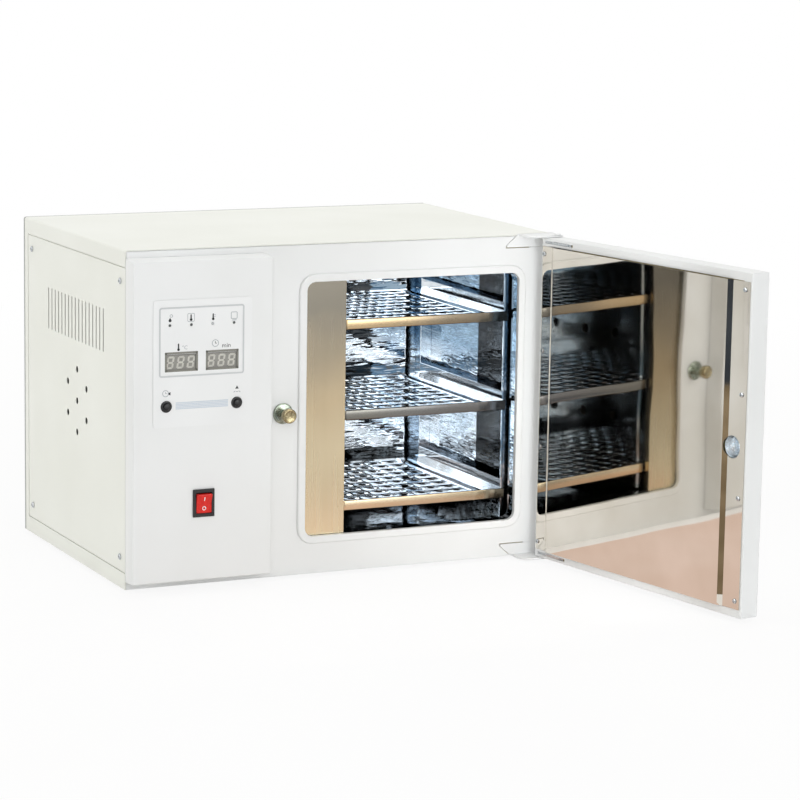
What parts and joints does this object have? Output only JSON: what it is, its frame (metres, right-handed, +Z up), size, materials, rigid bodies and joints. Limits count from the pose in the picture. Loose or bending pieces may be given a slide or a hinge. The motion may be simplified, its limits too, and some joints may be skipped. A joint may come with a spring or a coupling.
{
  "type": "dry heat sterilizer",
  "caption": "White bench dry heat sterilizer, side-hinged door standing open on a polished steel chamber with perforated shelves; control panel with displays, buttons and red rocker.",
  "frame": {"origin": "centre of the footprint with the door as pictured, at the level of the feet", "axes": "+X to the right seen from the front, +Y to the back, +Z up; the front with its fascia and door faces -Y"},
  "size_m": [0.6049, 0.7398, 0.3855],
  "materials": {
    "powder_coated_steel": "fine satin powder coat",
    "polished_stainless": "mirror-polished stainless sheet",
    "brushed_stainless": "brushed stainless sheet",
    "zinc_plated_steel": "bright zinc plating",
    "black_plastic": "moulded, fine texture",
    "black_rubber": "matte",
    "mineral_wool": "loose fibre mat",
    "printed_polyester": "printed film, satin",
    "smoked_display_resin": "smooth resin",
    "circuit_board": "solder mask",
    "red_rocker": "translucent moulded plastic",
    "heater_sheath": "heat-dulled steel tube",
    "laminated_iron": "varnished laminations",
    "phenolic_body": "moulded"
  },
  "bodies": {
    "case": {"case_wrap": "powder_coated_steel", "base_pan": "powder_coated_steel", "rear_panel": "powder_coated_steel", "front_frame": "powder_coated_steel", "fascia_box": "powder_coated_steel", "side_cover": "powder_coated_steel", "control_overlay": "printed_polyester", "display_temperature": "smoked_display_resin", "display_time": "smoked_display_resin", "control_board": "circuit_board", "button_body_left": "black_plastic", "button_body_right": "black_plastic", "switch_housing": "black_plastic", "bay_partition": "zinc_plated_steel", "chamber_liner": "polished_stainless", "duct_cover": "brushed_stainless", "shelf_rack_left": "brushed_stainless", "shelf_rack_right": "brushed_stainless", "heater_element": "heater_sheath", "temperature_sensor": "brushed_stainless", "thermal_cutout": "phenolic_body", "chamber_insulation": "mineral_wool", "transformer": "laminated_iron", "power_board": "circuit_board", "cord_gland": "black_plastic", "fuse_holder": "black_plastic", "latch_stud": "zinc_plated_steel", "hinge_bracket_bottom": "powder_coated_steel", "hinge_bracket_top": "powder_coated_steel", "hinge_pin_bottom": "zinc_plated_steel", "hinge_pin_top": "zinc_plated_steel", "foot_front_left": "black_rubber", "foot_front_right": "black_rubber", "foot_rear_left": "black_rubber", "foot_rear_right": "black_rubber", "side_screw_1": "zinc_plated_steel", "side_screw_2": "zinc_plated_steel", "side_screw_3": "zinc_plated_steel", "side_screw_4": "zinc_plated_steel"},
    "button_left": {"button_cap_left": "black_plastic"},
    "button_right": {"button_cap_right": "black_plastic"},
    "rocker": {"switch_rocker": "red_rocker"},
    "bottom_tray": {"shelf_bottom": "brushed_stainless"},
    "middle_tray": {"shelf_middle": "brushed_stainless"},
    "top_tray": {"shelf_top": "brushed_stainless"},
    "door": {"door_skin": "powder_coated_steel", "door_liner": "polished_stainless", "door_insulation": "mineral_wool", "catch_socket": "zinc_plated_steel", "door_knob": "black_plastic", "hinge_plate_bottom": "zinc_plated_steel", "hinge_plate_top": "zinc_plated_steel", "liner_screw_1": "zinc_plated_steel", "liner_screw_2": "zinc_plated_steel", "liner_screw_3": "zinc_plated_steel", "liner_screw_4": "zinc_plated_steel", "liner_screw_5": "zinc_plated_steel", "liner_screw_6": "zinc_plated_steel", "liner_screw_7": "zinc_plated_steel", "liner_screw_8": "zinc_plated_steel"}
  },
  "joints": [
    {"name": "door_hinge", "type": "hinge", "parent": "case", "child": "door", "pos_m": [0.22067, -0.01734, 0.1935], "axis": [0, 0, 1], "range_deg": [-99.7, 80]},
    {"name": "bottom_shelf_slide", "type": "slide", "parent": "case", "child": "bottom_tray", "axis": [0, -1, 0], "range_m": [0, 0.18]},
    {"name": "middle_shelf_slide", "type": "slide", "parent": "case", "child": "middle_tray", "axis": [0, -1, 0], "range_m": [0, 0.18]},
    {"name": "top_shelf_slide", "type": "slide", "parent": "case", "child": "top_tray", "axis": [0, -1, 0], "range_m": [0, 0.18]},
    {"name": "left_button_press", "type": "slide", "parent": "case", "child": "button_left", "axis": [0, 1, 0], "range_m": [0, 0.0015], "stiffness_N_per_m": 800},
    {"name": "right_button_press", "type": "slide", "parent": "case", "child": "button_right", "axis": [0, 1, 0], "range_m": [0, 0.0015], "stiffness_N_per_m": 800},
    {"name": "rocker_pivot", "type": "hinge", "parent": "case", "child": "rocker", "pos_m": [-0.21789, -0.01984, 0.1017], "axis": [1, 0, 0], "range_deg": [-18, 0]}
  ]
}
